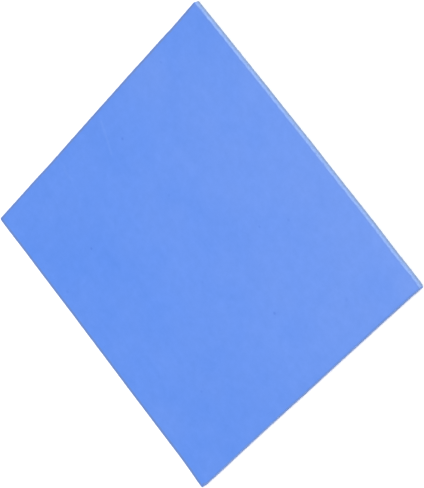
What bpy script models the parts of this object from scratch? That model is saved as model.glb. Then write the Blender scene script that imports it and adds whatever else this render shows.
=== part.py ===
"""Thermal pad sheet: one flat square of filled silicone elastomer, cut from stock.

It lies flat. The origin is at the middle of the underside, +Z points up out of the upper face,
and the long edges run along X and Y. Lengths are in metres.
"""

import bpy

# Driving sizes
SHEET_LENGTH = 0.100
SHEET_WIDTH = 0.100
SHEET_THICKNESS = 0.002
CORNER_RADIUS = 0.0006
RIM_RADIUS = 0.00025

# How finely the rounded corners and rims are divided
CORNER_SEGMENTS = 6
RIM_SEGMENTS = 3

# Finish
SHEET_NAME = "pad_sheet"
COLLECTION_NAME = "thermal_pad_sheet"
PAD_BLUE = (0.097, 0.239, 0.742, 1.0)
PAD_ROUGHNESS = 0.36

# An upright edge's direction has at least this much of Z in it
UPRIGHT_COSINE = 0.99
# Radians: a rim turns through a right angle, and a corner's facets through far less than this
RIM_LEAST_ANGLE = 1.0


def clear_scene():
    """Removes what the file opened with."""
    for old in list(bpy.data.objects):
        bpy.data.objects.remove(old, do_unlink=True)


def pad_material():
    """Blue silicone, satin, no metal in it."""
    material = bpy.data.materials.new("blue_silicone")
    material.use_nodes = True
    shader = material.node_tree.nodes["Principled BSDF"]
    shader.inputs["Base Color"].default_value = PAD_BLUE
    shader.inputs["Roughness"].default_value = PAD_ROUGHNESS
    shader.inputs["Metallic"].default_value = 0.0
    return material


def sheet_block():
    """The square block with sharp edges, its underside on the floor, its scale applied to its mesh."""
    bpy.ops.mesh.primitive_cube_add(size=1.0, location=(0.0, 0.0, SHEET_THICKNESS / 2))
    block = bpy.context.object
    block.name = SHEET_NAME
    block.data.name = SHEET_NAME
    block.scale = (SHEET_LENGTH, SHEET_WIDTH, SHEET_THICKNESS)
    bpy.ops.object.transform_apply(location=True, rotation=False, scale=True)
    return block


def mark_corner_edges(mesh):
    """Gives bevel weight to the four upright edges, so that only they take the corner radius."""
    weight = mesh.attributes.new("bevel_weight_edge", "FLOAT", "EDGE")
    for edge in mesh.edges:
        first, second = (mesh.vertices[index].co for index in edge.vertices)
        along = (second - first).normalized()
        weight.data[edge.index].value = float(abs(along.z) > UPRIGHT_COSINE)


def round_corners(sheet):
    """The four corners in plan, as the cutting tool leaves them."""
    mark_corner_edges(sheet.data)
    corners = sheet.modifiers.new("corners", "BEVEL")
    corners.limit_method = "WEIGHT"
    corners.width = CORNER_RADIUS
    corners.segments = CORNER_SEGMENTS


def round_rims(sheet):
    """The upper and lower rims, all the way round; the sides meet the faces at right angles."""
    rims = sheet.modifiers.new("rims", "BEVEL")
    rims.limit_method = "ANGLE"
    rims.angle_limit = RIM_LEAST_ANGLE
    rims.width = RIM_RADIUS
    rims.segments = RIM_SEGMENTS


def pad_sheet():
    sheet = sheet_block()
    round_corners(sheet)
    round_rims(sheet)
    sheet.data.materials.append(pad_material())
    return sheet


def main():
    clear_scene()
    collection = bpy.data.collections.new(COLLECTION_NAME)
    bpy.context.scene.collection.children.link(collection)
    sheet = pad_sheet()
    for holder in list(sheet.users_collection):
        holder.objects.unlink(sheet)
    collection.objects.link(sheet)


main()
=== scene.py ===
import math

import bpy
import numpy as np
from mathutils import Matrix, Vector


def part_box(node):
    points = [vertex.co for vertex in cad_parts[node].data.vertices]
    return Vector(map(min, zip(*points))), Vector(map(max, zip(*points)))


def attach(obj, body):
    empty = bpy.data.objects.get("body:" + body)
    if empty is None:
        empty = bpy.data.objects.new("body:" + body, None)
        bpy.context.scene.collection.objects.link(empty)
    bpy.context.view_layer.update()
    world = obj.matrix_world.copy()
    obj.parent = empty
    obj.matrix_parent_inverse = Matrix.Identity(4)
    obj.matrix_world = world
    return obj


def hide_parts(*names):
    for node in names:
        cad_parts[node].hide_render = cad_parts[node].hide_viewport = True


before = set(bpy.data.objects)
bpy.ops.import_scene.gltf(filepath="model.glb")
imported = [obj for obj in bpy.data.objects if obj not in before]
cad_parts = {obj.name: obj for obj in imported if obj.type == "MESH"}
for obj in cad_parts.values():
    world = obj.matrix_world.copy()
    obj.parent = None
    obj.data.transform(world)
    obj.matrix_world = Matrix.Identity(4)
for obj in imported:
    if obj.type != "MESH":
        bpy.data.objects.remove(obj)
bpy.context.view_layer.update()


# Pad sheet
# One square of silicone elastomer filled with ceramic powder, rolled out flat between liner films.
# A blade cuts it from the stock, which leaves its four sides paler and rougher than its faces and
# draws its upper rim down a little. Lengths in this section are in millimetres.

MM = 0.001
PAD_LOW, PAD_HIGH = (np.array(corner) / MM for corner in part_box("pad_sheet"))
HALF_SIDES = (PAD_HIGH - PAD_LOW)[:2] / 2
THICKNESS = (PAD_HIGH - PAD_LOW)[2]

# Radii of the corners in plan: the two at the front, left and right, then the two at the back. Where
# the outline is drawn in, they shrink with it down to the least radius.
CORNER_RADII = np.array(((0.85, 0.60), (0.40, 0.60)))
LEAST_RADIUS = 0.001
UPPER_RIM_RADIUS = 0.30
LOWER_RIM_RADIUS = 0.16
# How far the blade draws the upper rim down, how far in from the outline that reaches, and how deep
# it hollows each side
RIM_DRAW = 0.035
RIM_DRAW_REACH = 0.5
SIDE_HOLLOW = 0.03

# The middle of each face is a coarse grid of squares, which starts this far in from the outline. The
# border round it has this many steps to each square, and rings at these insets before the rim.
FACE_CELLS = 125
FACE_INSET = 1.5
BORDER_STEPS = 4
BORDER_INSETS = (1.2, 0.9, 0.65, 0.46)
RIM_STEPS = 6
SIDE_STEPS = 8
# How much closer together the squares lie towards the outline than in the middle
GATHER = 0.25

# Lengths of the waves that the rolling leaves in the upper face, and that the blade leaves in the
# outline as it wanders, with the height in all of each
SWELL_LENGTHS = (9.0, 13.0, 19.0, 31.0)
SWELL_HEIGHT = 0.018
WANDER_LENGTHS = (7.0, 12.0, 23.0, 41.0)
WANDER_HEIGHT = 0.05
# How far the middle of each side bows outwards or, below nothing, inwards
SIDE_BOWS = {"front": 0.35, "back": -0.04, "left": -0.11, "right": -0.03}
# Where the blade strayed from the square: a place on the outline, how far it drew the sheet there
# across and along, and how far round the place that reaches
STRAYS = (
    (50, -50, 0.05, -0.04, 3.5), (-50, -50, -0.14, 0.08, 2.6), (-50, 50, 0.05, 0.31, 5.2),
    (-50, 50, -0.07, -0.05, 1.6), (37, -50, 0.00, -0.07, 11), (-39, -50, 0.00, 0.06, 6),
    (-50, 1, -0.07, 0.00, 5), (-50, 27, 0.07, 0.00, 9), (-39, 50, 0.00, -0.10, 5),
    (46, 50, 0.00, 0.12, 7), (50, 20, -0.07, 0.00, 8), (50, -16, 0.06, 0.00, 11),
    (50, -39, -0.09, 0.00, 4),
)
# Marks that the blade leaves up the sides: their lengths round the outline, their height in all, and
# how far they lean, in radians of a wave for each millimetre down
CHATTER_LENGTHS = (1.1, 1.7, 2.6, 3.9)
CHATTER_HEIGHT = 0.035
CHATTER_SLANT = 1.3

chance = np.random.default_rng(4)


def swell(x, y, lengths, height):
    """A sum of plane waves, one for each length, with its heading a and its phase by chance:
    height / count * sin(2 pi * (x cos a + y sin a) / length + phase)."""
    total = np.zeros(np.shape(x))
    for length in lengths:
        heading, phase = chance.uniform(0, 2 * math.pi, 2)
        run = x * math.cos(heading) + y * math.sin(heading)
        total = total + np.sin(2 * math.pi * run / length + phase)
    return total * height / len(lengths)


def chatter(turn, down):
    """How far the blade left a side proud, at a share of the way round and a depth below the face:
    height / count * sin(2 pi * whole waves * turn + slant * down + phase), so that the ends meet."""
    way_round = 4 * HALF_SIDES.sum()
    total = np.zeros(np.broadcast(turn, down).shape)
    for length in CHATTER_LENGTHS:
        waves = round(way_round / length)
        phase = chance.uniform(0, 2 * math.pi)
        total = total + np.sin(2 * math.pi * waves * turn + CHATTER_SLANT * down + phase)
    return total * CHATTER_HEIGHT / len(CHATTER_LENGTHS)


def bowed(towards, beside, low_side, high_side):
    """How far the bows of two facing sides push a place: bow * share of the way to the side *
    (1 - (place along the side / half side)^2), outwards where the bow is above nothing."""
    reach = towards / HALF_SIDES[0]
    arch = 1 - (beside / HALF_SIDES[0]) ** 2
    pull = SIDE_BOWS[high_side] * np.maximum(reach, 0) - SIDE_BOWS[low_side] * np.maximum(-reach, 0)
    return pull * arch


def strayed(x, y):
    """How far the blade strayed from the square, across and along: the sum of each stray's own pair
    of shifts * exp(-(distance from its place / reach)^2)."""
    pull = np.zeros((2, x.size))
    for place_across, place_along, across, along, reach in STRAYS:
        away = np.hypot(x - place_across, y - place_along)
        pull = pull + np.array([[across], [along]]) * np.exp(-(away / reach) ** 2)
    return pull


def gathered(cells):
    """Places from -1 to 1 that lie closer together towards both ends: t + gather * sin(pi t) / pi."""
    t = np.linspace(-1, 1, cells + 1)
    return t + GATHER * np.sin(math.pi * t) / math.pi


def square_ring(cells):
    """The edge of the square from -1 to 1, anticlockwise from its corner at (-1, -1)."""
    run = gathered(cells)[:-1]
    edge = np.ones(cells)
    x = np.concatenate([run, edge, -run, -edge])
    y = np.concatenate([-edge, run, edge, -run])
    return np.array([x, y])


def pad_plan(place, inset):
    """The sheet's rounded square drawn in by an inset, from places between -1 and 1. The place is
    first scaled to the half sides. In a corner both offsets from the arc's centre are above nothing,
    and the pair is pulled onto the arc: dx * sqrt(1 - dy^2 / 2 r^2) and dy * sqrt(1 - dx^2 / 2 r^2)."""
    half = HALF_SIDES.reshape(2, *[1] * inset.ndim) - inset
    right, back = (place > 0).astype(int)
    radius = np.maximum(CORNER_RADII[back, right] - inset, LEAST_RADIUS)
    plan = place * half
    centre = half - radius
    over = np.maximum(np.abs(plan) - centre, 0)
    pulled = over * np.sqrt(1 - (over[::-1] / radius) ** 2 / 2)
    return np.sign(plan) * (np.minimum(np.abs(plan), centre) + pulled)


def border_section():
    """The section through the border as insets and heights, from the upper face over the rim, down
    the side and under: a quarter circle at each rim, with a shallow hollow between them."""
    flat = np.array(BORDER_INSETS)
    turn = np.linspace(0, math.pi / 2, RIM_STEPS + 1)
    down = np.linspace(0, 1, SIDE_STEPS + 1)[1:-1]
    straight = THICKNESS - UPPER_RIM_RADIUS - LOWER_RIM_RADIUS
    upper_inset = UPPER_RIM_RADIUS * (1 - np.sin(turn))
    upper_height = THICKNESS - UPPER_RIM_RADIUS * (1 - np.cos(turn))
    side_inset = SIDE_HOLLOW * np.sin(math.pi * down)
    side_height = THICKNESS - UPPER_RIM_RADIUS - straight * down
    lower_inset = LOWER_RIM_RADIUS * (1 - np.cos(turn))
    lower_height = LOWER_RIM_RADIUS * (1 - np.sin(turn))
    inset = np.concatenate([flat, upper_inset, side_inset, lower_inset, flat[::-1]])
    height = np.concatenate([flat * 0 + THICKNESS, upper_height, side_height, lower_height, flat * 0])
    return inset[:, None], height[:, None]


def pad_points():
    """Every point of the sheet, with its distance in from the outline. The section is carried round
    the outline, then come the middles of the two faces, and the waves, bows and strays are laid over
    the whole: heights by the share of the thickness below them, so that the underside stays flat."""
    section_inset, section_height = border_section()
    ring = square_ring(FACE_CELLS * BORDER_STEPS)
    turn = np.arange(ring.shape[1]) / ring.shape[1]
    on_side = np.clip(1 - section_inset / UPPER_RIM_RADIUS, 0, 1)
    cut_inset = section_inset - on_side * chatter(turn, THICKNESS - section_height)
    border = pad_plan(ring[:, None, :], cut_inset).reshape(2, -1)
    grid = np.array(np.meshgrid(gathered(FACE_CELLS), gathered(FACE_CELLS)))
    face = pad_plan(grid, np.full(grid.shape[1:], FACE_INSET)).reshape(2, -1)
    face_inset = (HALF_SIDES[:, None] - np.abs(face)).min(axis=0)
    x, y = np.concatenate([border, face, face], axis=1)
    border_height = np.broadcast_to(section_height, cut_inset.shape).ravel()
    border_inset = np.broadcast_to(section_inset, cut_inset.shape).ravel()
    z = np.concatenate([border_height, face_inset * 0 + THICKNESS, face_inset * 0])
    inset = np.concatenate([border_inset, face_inset, face_inset])
    lift = z / THICKNESS
    z = z + lift * swell(x, y, SWELL_LENGTHS, SWELL_HEIGHT)
    z = z - lift * RIM_DRAW * np.exp(-inset / RIM_DRAW_REACH)
    pull = strayed(x, y)
    across = x + swell(x, y, WANDER_LENGTHS, WANDER_HEIGHT) + bowed(x, y, "left", "right") + pull[0]
    along = y + swell(x, y, WANDER_LENGTHS, WANDER_HEIGHT) + bowed(y, x, "front", "back") + pull[1]
    return np.stack([across, along, z], axis=1), inset


def pad_faces():
    """Corner numbers of every face: squares between neighbouring rings of the border and within the
    two middle grids. From each outer edge of a grid a fan of triangles reaches the finer ring round
    it: half of them from the edge's left end, half from its right end, and one between the two."""
    rings = border_section()[0].size
    around = 4 * FACE_CELLS * BORDER_STEPS
    inner = np.arange(rings - 1)[:, None] * around
    here = np.arange(around)[None, :]
    ahead = (here + 1) % around
    outer = inner + around
    border = np.stack([inner + here, outer + here, outer + ahead, inner + ahead], axis=-1)
    side = FACE_CELLS + 1
    number = np.arange(side * side).reshape(side, side)
    cells = np.stack([number[:-1, :-1], number[:-1, 1:], number[1:, 1:], number[1:, :-1]], axis=-1)
    edge = np.concatenate([number[0, :-1], number[:-1, -1], number[-1, :0:-1], number[:0:-1, 0]])
    squares = [border.reshape(-1, 4)]
    triangles = []
    upper_grid, lower_grid = rings * around, rings * around + side**2
    middle = BORDER_STEPS // 2
    for first, ring, winding in ((upper_grid, 0, 1), (lower_grid, (rings - 1) * around, -1)):
        squares.append(first + cells.reshape(-1, 4)[:, ::winding])
        left, right = first + edge, first + np.roll(edge, -1)
        start = np.arange(edge.size) * BORDER_STEPS
        fine = [ring + (start + step) % around for step in range(BORDER_STEPS + 1)]
        fan = [(left, fine[step], fine[step + 1]) for step in range(middle)]
        fan.append((left, fine[middle], right))
        fan += [(right, fine[step], fine[step + 1]) for step in range(middle, BORDER_STEPS)]
        triangles.extend(np.stack(corners, axis=-1)[:, ::winding] for corners in fan)
    return np.concatenate(squares).tolist() + np.concatenate(triangles).tolist()


def pad_mesh():
    """The sheet as one closed mesh in metres, with its distance in from the outline as an attribute."""
    points, inset = pad_points()
    mesh = bpy.data.meshes.new("silicone_pad")
    mesh.from_pydata((points * MM).tolist(), [], pad_faces())
    mesh.attributes.new("inset", "FLOAT", "POINT").data.foreach_set("value", inset)
    mesh.shade_smooth()
    return mesh


# Linear colours: the rolled face, the white powder that fills it, a rim greyed with painted shade, the cut
# of the front as a lit copy high on the side and darkened low on the side as painted shade near the floor,
# the cut of the other three sides as a darker copy painted in shade, a scuff that has gone pale, and a
# dark speck
FACE_BLUE = (0.079, 0.225, 0.738, 1)
FILLER_WHITE = (0.95, 0.95, 0.95, 1)
RIM_SHADE_BLUE = (0.120, 0.215, 0.520, 1)
LIT_FRONT_CUT_BLUE = (0.240, 0.385, 0.775, 1)
LOW_SHADE_CUT_BLUE = (0.205, 0.300, 0.490, 1)
SHADED_CUT_BLUE = (0.150, 0.275, 0.650, 1)
SCUFF_BLUE = (0.170, 0.320, 0.780, 1)
SPECK_BLUE = (0.024, 0.100, 0.569, 1)
SILICONE_IOR = 1.41

# Lengths of each pattern's grain, across, along and up
RAGGED_GRAIN = (1.6, 1.6, 1.6)
CLOUD_GRAIN = (21, 17, 21)
STREAK_GRAIN = (2.2, 38, 6)
POWDER_GRAIN = (3.0, 3.0, 3.0)
PATCH_GRAIN = (20.0, 20.0, 20.0)
SKIN_GRAIN = (0.8, 0.8, 0.8)
DRAG_GRAIN = (0.3, 0.3, 1.6)
FLECK_GRAIN = (0.45, 0.45, 0.3)
# Each finer octave's share of the one before it, and how many octaves there are above the grain
GRAIN_ROUGHNESS = 0.5
POWDER_ROUGHNESS = 0.8
PATCH_ROUGHNESS = 0.7
GRAIN_OCTAVES = 2.0
# All octaves of a noise line up at its start, so the patterns start this far from the sheet's middle
GRAIN_START = (170, 290, 430)

# How much of each pattern goes into the tone of the face and of the cut
CLOUD_TONE = 0.05
STREAK_TONE = 0.03
POWDER_TONE = 0.10
DRAG_TONE = 0.35
FLECK_TONE = 0.35
FLECK_FADE = (0.08, 0.3)
# The share of white powder that shows in the face: everywhere, in patches and with the grain
FILLER_SHARE = 0.02
PATCH_FILLER = 0.042
POWDER_FILLER = 0.022
# Roughness of the face, and what clouds, the cut and specks add to it
FACE_ROUGHNESS = 0.34
CLOUD_ROUGHNESS = 0.08
CUT_ROUGHNESS = 0.28
SPECK_ROUGHNESS = 0.3
# Height of the fine relief: the face's own, drag marks and flecks in the cut, specks and scuffs
SKIN_RELIEF = 0.004
DRAG_RELIEF = 0.03
FLECK_RELIEF = 0.02
SPECK_DEPTH = 0.02
SCUFF_HEIGHT = 0.02

# Distances in from the outline at which the cut begins and at which it is full, and how ragged that is
CUT_FADE = (0.32, 0.06)
RAGGEDNESS = 0.5
# Half the width over which the lit front's cut goes over into the darker, painted-shade cut of the other
# sides, at its corners
LIT_FRONT_FADE = 0.3
# Shares of the thickness, going up, between which the upper face's marks begin, and, going down, between
# which the side turns to its low colour, a painted shade that darkens it towards the floor
UPPER_FADE = (0.5, 0.75)
LOW_SHADE_FADE = (0.8, 0.15)
# Painted shade on the rims, greying them: how far in it reaches, how much further along the back and the
# right side, and the share of that which is left at the back left corner. Next to the lit front's cut it
# reaches this much further too, but this share of it is spared.
RIM_SHADE_REACH = 0.45
BACK_RIM_SHADE = 0.75
RIGHT_RIM_SHADE = 0.5
CORNER_RIM_SHADE = 0.6
LIT_FRONT_REACH = 0.6
LIT_FRONT_SPARED = 0.8
# Shares of a half side between which the back's and the right side's painted rim shade begin, and between
# which the back left corner's share ends
RIM_SHADE_FADE = (0.95, 0.98)
CORNER_FADE = (0.99, 0.96)

# Dark specks in the upper face: across, along, width and how far each turns the blue to its own
SPECKS = (
    (23.2, 29.5, 0.75, 0.37), (-27.8, -7.6, 0.90, 0.31), (-7.4, -21.4, 0.72, 0.26),
    (-11.8, -30.3, 0.78, 0.21), (38.7, -3.0, 0.87, 0.34), (-29.5, 29.1, 0.83, 0.22),
    (-28.5, 27.3, 0.56, 0.11), (-38.8, -29.2, 1.01, 0.17), (6.5, -11.6, 0.49, 0.11),
    (17.4, -3.8, 0.74, 0.17), (19.5, 46.2, 0.90, 0.18), (-7.2, 5.4, 0.81, 0.14),
    (45.4, -29.2, 0.83, 0.15),
)
# Patches of painted sheen, paler where it is brighter and deeper where it is dimmer: across, along, width
# and how much paler or, below nothing, deeper
SHEEN_PATCHES = (
    (48.0, -22.0, 17.0, 0.015), (27.0, -31.0, 13.0, 0.009), (8.0, 49.0, 12.0, 0.009),
    (-29.0, 48.0, 16.0, 0.013), (-35.0, -23.0, 14.0, 0.006), (-47.0, 42.0, 9.0, 0.007),
    (-48.0, -47.0, 8.0, 0.018), (-10.0, 22.0, 20.0, -0.008), (18.0, 38.0, 36.0, -0.006),
    (-21.0, -3.0, 14.0, -0.006), (-42.0, -38.0, 10.0, -0.008), (-4.0, -14.0, 26.0, -0.006),
)
# Pale scuffs in the face: half width, strength and the points that each goes through
SCUFFS = (
    (0.66, 0.19, ((46.8, -0.8), (43.7, 0.6), (41.0, 1.8), (38.1, 3.3))),
    (0.70, 0.12, ((46.1, 19.2), (44.8, 20.1), (43.2, 20.2), (41.8, 19.9))),
    (0.80, 0.03, ((41.5, 37.2), (38.8, 38.5), (35.0, 40.0), (32.6, 40.9))),
)
# Shares of a width: where a speck or a patch of painted sheen has faded out, and where any mark is full
MARK_EDGE = 0.75
MARK_CORE = 0.2


class Wire:
    """A shader socket. Sums, differences and products of wires and numbers add their Math nodes."""

    def __init__(self, tree, socket=None):
        self.tree = tree
        self.socket = socket

    def node(self, kind, settings=None, sockets=None, output=0):
        """Adds a node: first its settings, then the value or the link of each socket that is named."""
        added = self.tree.nodes.new(kind)
        for name, value in (settings or {}).items():
            setattr(added, name, value)
        for name, value in (sockets or {}).items():
            if isinstance(value, Wire):
                self.tree.links.new(value.socket, added.inputs[name])
            else:
                added.inputs[name].default_value = value
        return Wire(self.tree, added.outputs[output])

    def math(self, operation, *values):
        return self.node("ShaderNodeMath", {"operation": operation}, dict(enumerate(values)))

    def vector(self, operation, *values, output=0):
        return self.node("ShaderNodeVectorMath", {"operation": operation}, dict(enumerate(values)), output)

    def __add__(self, other):
        return self.math("ADD", self, other)

    def __sub__(self, other):
        return self.math("SUBTRACT", self, other)

    def __rsub__(self, other):
        return self.math("SUBTRACT", other, self)

    def __mul__(self, other):
        return self.math("MULTIPLY", self, other)

    __radd__ = __add__
    __rmul__ = __mul__


def fade(wire, start, end):
    """A smooth step from 0, where the wire is at start, to 1, where it is at end."""
    reach = {"Value": wire, "From Min": start, "From Max": end}
    return wire.node("ShaderNodeMapRange", {"interpolation_type": "SMOOTHSTEP"}, reach)


def scaled(wire, vector, factor):
    """A colour, a place or a run times a number."""
    return wire.node("ShaderNodeVectorMath", {"operation": "SCALE"}, {0: vector, "Scale": factor})


def blend(wire, colour, other, share):
    """A colour with this share of the other one."""
    return wire.node("ShaderNodeMix", {"data_type": "RGBA"}, {0: share, 6: colour, 7: other}, 2)


def mottle(place, lengths, roughness=GRAIN_ROUGHNESS):
    """Soft noise from about -0.5 to 0.5, with its grain this long each way and finer octaves above
    that, each one weaker than the last by the roughness."""
    squeezed = place.vector("DIVIDE", place.vector("ADD", place, GRAIN_START), lengths)
    sockets = {"Vector": squeezed, "Scale": 1.0, "Detail": GRAIN_OCTAVES, "Roughness": roughness}
    return place.node("ShaderNodeTexNoise", {}, sockets) - 0.5


def soft_discs(flat, rows):
    """The sum of soft discs: each row's strength, times a fade that is full near its middle and ends
    at the edge's share of its width from there."""
    share = 0.0
    for across, along, width, strength in rows:
        away = flat.vector("DISTANCE", flat, (across, along, 0), output="Value")
        share = fade(away, width * MARK_EDGE, width * MARK_CORE) * strength + share
    return share


def scuff_share(flat):
    """How pale the scuffs make a place: it fades with the distance to the nearest straight piece,
    whose foot lies at dot(place - start, run) / dot(run, run) along it, kept from 0 to 1."""
    share = 0.0
    for width, strength, points in SCUFFS:
        for start, end in zip(points, points[1:]):
            run = np.array([end[0] - start[0], end[1] - start[1], 0.0])
            out = flat.vector("SUBTRACT", flat, (*start, 0))
            along = out.vector("DOT_PRODUCT", out, run / (run @ run), output="Value")
            foot = scaled(out, run, along.node("ShaderNodeClamp", {}, {"Value": along}))
            away = out.vector("DISTANCE", out, foot, output="Value")
            pale = fade(away, width, width * MARK_CORE) * strength
            share = pale.math("MAXIMUM", pale, share)
    return share


def rim_shade_share(across, deep, reach, lit_front):
    """How much painted shade greys a place at the rim: a fade from the outline inwards that ends at the
    shade's reach, after the distance is lessened by the larger of what the back and the right side add
    near them and by the lit front's reach. On the lit front, the shade is also spared by its share."""
    half_across, half_deep = HALF_SIDES
    back = fade(deep, half_deep * RIM_SHADE_FADE[0], half_deep * RIM_SHADE_FADE[1]) * BACK_RIM_SHADE
    past_corner = fade(across, -half_across * CORNER_FADE[0], -half_across * CORNER_FADE[1])
    back = back * (CORNER_RIM_SHADE + (1 - CORNER_RIM_SHADE) * past_corner)
    right = fade(across, half_across * RIM_SHADE_FADE[0], half_across * RIM_SHADE_FADE[1]) * RIGHT_RIM_SHADE
    further = back.math("MAXIMUM", back, right)
    return fade(reach - further - lit_front * LIT_FRONT_REACH, RIM_SHADE_REACH, 0.0) * (1 - lit_front * LIT_FRONT_SPARED)


def silicone_finish():
    """Blue silicone: a satin face with faint clouds, rolling streaks, white powder, paler and deeper
    patches of painted sheen, scuffs and specks, a rim greyed with painted shade, and a paler, rougher cut
    with dark flecks and upright drag marks that starts just inside the rims. Its front is a lit copy of
    the cut, darkened towards the floor as painted shade, and the other three sides are a darker copy
    painted in shade."""
    material = bpy.data.materials.new("blue_silicone")
    material.use_nodes = True
    tree = material.node_tree
    place = Wire(tree).node("ShaderNodeTexCoord", output="Object")
    place = scaled(place, place, 1 / MM)
    across, deep, height = (place.node("ShaderNodeSeparateXYZ", {}, {0: place}, axis) for axis in "XYZ")
    flat = place.vector("MULTIPLY", place, (1, 1, 0))
    inset = place.node("ShaderNodeAttribute", {"attribute_name": "inset"}, output="Fac")
    reach = inset + mottle(place, RAGGED_GRAIN) * RAGGEDNESS
    cut = fade(reach, *CUT_FADE)
    lit_front = fade(across.math("ABSOLUTE", across) + deep, LIT_FRONT_FADE, -LIT_FRONT_FADE)
    rim_shade = rim_shade_share(across, deep, reach, lit_front)
    upper = fade(height, THICKNESS * UPPER_FADE[0], THICKNESS * UPPER_FADE[1])
    low_shade = fade(height, THICKNESS * LOW_SHADE_FADE[0], THICKNESS * LOW_SHADE_FADE[1])
    sheen_patches = soft_discs(flat, SHEEN_PATCHES) * upper
    scuffs = scuff_share(flat) * upper
    specks = soft_discs(flat, SPECKS) * upper

    clouds = mottle(place, CLOUD_GRAIN)
    streaks = mottle(place, STREAK_GRAIN)
    powder = mottle(place, POWDER_GRAIN, POWDER_ROUGHNESS)
    patches = mottle(place, PATCH_GRAIN, PATCH_ROUGHNESS)
    # The white share also holds the patches of painted sheen.
    filler = FILLER_SHARE + patches * PATCH_FILLER + powder * POWDER_FILLER + sheen_patches
    face_blue = blend(place, FACE_BLUE, FILLER_WHITE, filler)
    # Painted shade greys the rim, most along the back and the right side, away from the lamp, and least on
    # the lit front.
    face_blue = blend(place, face_blue, RIM_SHADE_BLUE, rim_shade)
    face_tone = 1 + clouds * CLOUD_TONE + streaks * STREAK_TONE + powder * POWDER_TONE

    drags = mottle(place, DRAG_GRAIN)
    flecks = mottle(place, FLECK_GRAIN)
    # The cut as a lit copy on the front, darkened low down as painted shade, and a darker copy painted in
    # shade on the other three sides
    side_blue = blend(place, SHADED_CUT_BLUE, blend(place, LIT_FRONT_CUT_BLUE, LOW_SHADE_CUT_BLUE, low_shade), lit_front)
    side_tone = 1 + drags * DRAG_TONE - fade(flecks, *FLECK_FADE) * FLECK_TONE

    blue = blend(place, scaled(place, face_blue, face_tone), scaled(place, side_blue, side_tone), cut)
    blue = blend(place, blue, SCUFF_BLUE, scuffs)
    blue = blend(place, blue, SPECK_BLUE, specks)
    roughness = FACE_ROUGHNESS + clouds * CLOUD_ROUGHNESS + cut * CUT_ROUGHNESS + specks * SPECK_ROUGHNESS
    relief = mottle(place, SKIN_GRAIN) * SKIN_RELIEF * (1 - cut)
    relief = relief + (drags * DRAG_RELIEF + flecks * FLECK_RELIEF) * cut
    relief = relief - specks * SPECK_DEPTH + scuffs * SCUFF_HEIGHT
    normal = relief.node("ShaderNodeBump", {}, {"Height": relief, "Distance": MM})

    silicone = tree.nodes["Principled BSDF"]
    silicone.inputs["IOR"].default_value = SILICONE_IOR
    for name, wire in (("Base Color", blue), ("Roughness", roughness), ("Normal", normal)):
        tree.links.new(wire.socket, silicone.inputs[name])
    return material


pad = bpy.data.objects.new("silicone_pad", pad_mesh())
bpy.context.scene.collection.objects.link(pad)
pad.data.materials.append(silicone_finish())
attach(pad, "root")
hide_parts("pad_sheet")


# Floor
# A plain table of matt white acrylic, lit a little from below as for product shots. It reaches the
# horizon in every view, and lies a hair below the sheet, so that the two don't share a plane. Lengths
# from here on are in metres.

FLOOR_SIDE = 30.0
FLOOR_DROP = 0.00003
FLOOR_WHITE = (0.92, 0.92, 0.92, 1.0)
FLOOR_GLOW = 0.15

floor_mesh = bpy.data.meshes.new("pale_floor")
floor_reach = FLOOR_SIDE / 2
floor_plan = ((-1, -1), (1, -1), (1, 1), (-1, 1))
floor_corners = [(x * floor_reach, y * floor_reach, -FLOOR_DROP) for x, y in floor_plan]
floor_mesh.from_pydata(floor_corners, [], [(0, 1, 2, 3)])
floor_finish = bpy.data.materials.new("pale_floor")
floor_finish.use_nodes = True
acrylic = floor_finish.node_tree.nodes["Principled BSDF"]
acrylic.inputs["Base Color"].default_value = FLOOR_WHITE
acrylic.inputs["Roughness"].default_value = 1.0
acrylic.inputs["Specular IOR Level"].default_value = 0.0
acrylic.inputs["Emission Color"].default_value = (1.0, 1.0, 1.0, 1.0)
acrylic.inputs["Emission Strength"].default_value = FLOOR_GLOW
floor_mesh.materials.append(floor_finish)
floor = bpy.data.objects.new("pale_floor", floor_mesh)
bpy.context.scene.collection.objects.link(floor)


# Light
# A pale studio: a soft lamp high over the -Y side, a dim even sky that brightens to the floor's own
# white at the horizon, and a small soft box behind, which lays a faint sheen on the face.

SKY_STRENGTH = 0.38
HORIZON_STRENGTH = 1.0
# How steep a direction is, as its sine, where the horizon's white begins to fade and where it ends
HORIZON_LOW = 0.10
HORIZON_HIGH = 0.20
LAMP_AZIMUTH = 0.0
LAMP_ELEVATION = 55.0
LAMP_ANGLE = 25.0
LAMP_STRENGTH = 2.07
SHEEN_PLACE = (0.045, 0.130, 0.400)
SHEEN_SIDE = 0.22
SHEEN_POWER = 0.50


def direction(azimuth, elevation):
    """The direction at these angles in degrees, from -Y round towards +X and up: (sin azimuth cos
    elevation, -cos azimuth cos elevation, sin elevation)."""
    around, up = math.radians(azimuth), math.radians(elevation)
    return Vector((math.sin(around) * math.cos(up), -math.cos(around) * math.cos(up), math.sin(up)))


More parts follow.
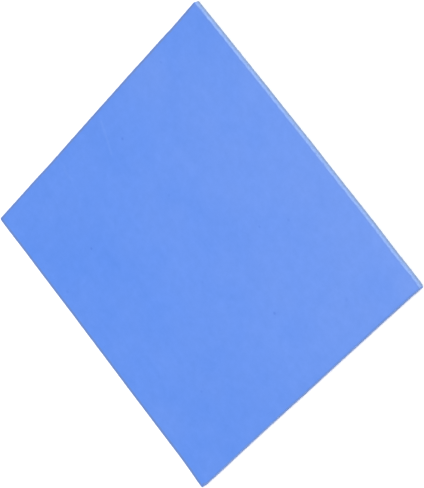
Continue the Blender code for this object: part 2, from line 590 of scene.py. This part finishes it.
def pointed(name, data, place, aim):
    """A lamp at a place, turned so that it shines towards its aim."""
    lamp = bpy.data.objects.new(name, data)
    bpy.context.scene.collection.objects.link(lamp)
    lamp.location = place
    lamp.rotation_euler = (Vector(aim) - Vector(place)).to_track_quat("-Z", "Y").to_euler()
    return lamp


world = bpy.data.worlds.new("pale_studio")
world.use_nodes = True
bpy.context.scene.world = world
way = Wire(world.node_tree).node("ShaderNodeTexCoord", output="Generated")
rise = way.node("ShaderNodeSeparateXYZ", {}, {0: way}, "Z")
rise = rise.math("ABSOLUTE", rise)
glow = SKY_STRENGTH + fade(rise, HORIZON_HIGH, HORIZON_LOW) * (HORIZON_STRENGTH - SKY_STRENGTH)
world.node_tree.links.new(glow.socket, world.node_tree.nodes["Background"].inputs["Strength"])
world.node_tree.nodes["Background"].inputs["Color"].default_value = (1, 1, 1, 1)

lamp = bpy.data.lights.new("high_lamp", "SUN")
lamp.energy = LAMP_STRENGTH
lamp.angle = math.radians(LAMP_ANGLE)
pointed("high_lamp", lamp, direction(LAMP_AZIMUTH, LAMP_ELEVATION), (0, 0, 0))

sheen = bpy.data.lights.new("sheen_box", "AREA")
sheen.size = SHEEN_SIDE
sheen.energy = SHEEN_POWER
sheen_box = pointed("sheen_box", sheen, SHEEN_PLACE, (0, 0, 0))
sheen_box.visible_camera = False

bpy.context.scene.view_settings.view_transform = "Standard"


# Camera
# It stands where the photograph's stood. The four corners of a square sheet fix its place, its turn
# about its own axis and its lens. Angles are in degrees, and the lens and its sensor in millimetres.

AIM = (-0.00131, -0.00524, 0.002)
DISTANCE = 0.67343
AZIMUTH = -18.490
ELEVATION = 53.419
ROLL = -112.677
LENS = 177.97
SENSOR = 36.0

back = direction(AZIMUTH, ELEVATION)
camera_data = bpy.data.cameras.new("camera")
camera_data.lens = LENS
camera_data.sensor_width = SENSOR
camera = bpy.data.objects.new("camera", camera_data)
bpy.context.scene.collection.objects.link(camera)
camera.matrix_world = (Matrix.Translation(Vector(AIM) + back * DISTANCE)
                       @ back.to_track_quat("Z", "Y").to_matrix().to_4x4()
                       @ Matrix.Rotation(math.radians(ROLL), 4, "Z"))
bpy.context.scene.camera = camera
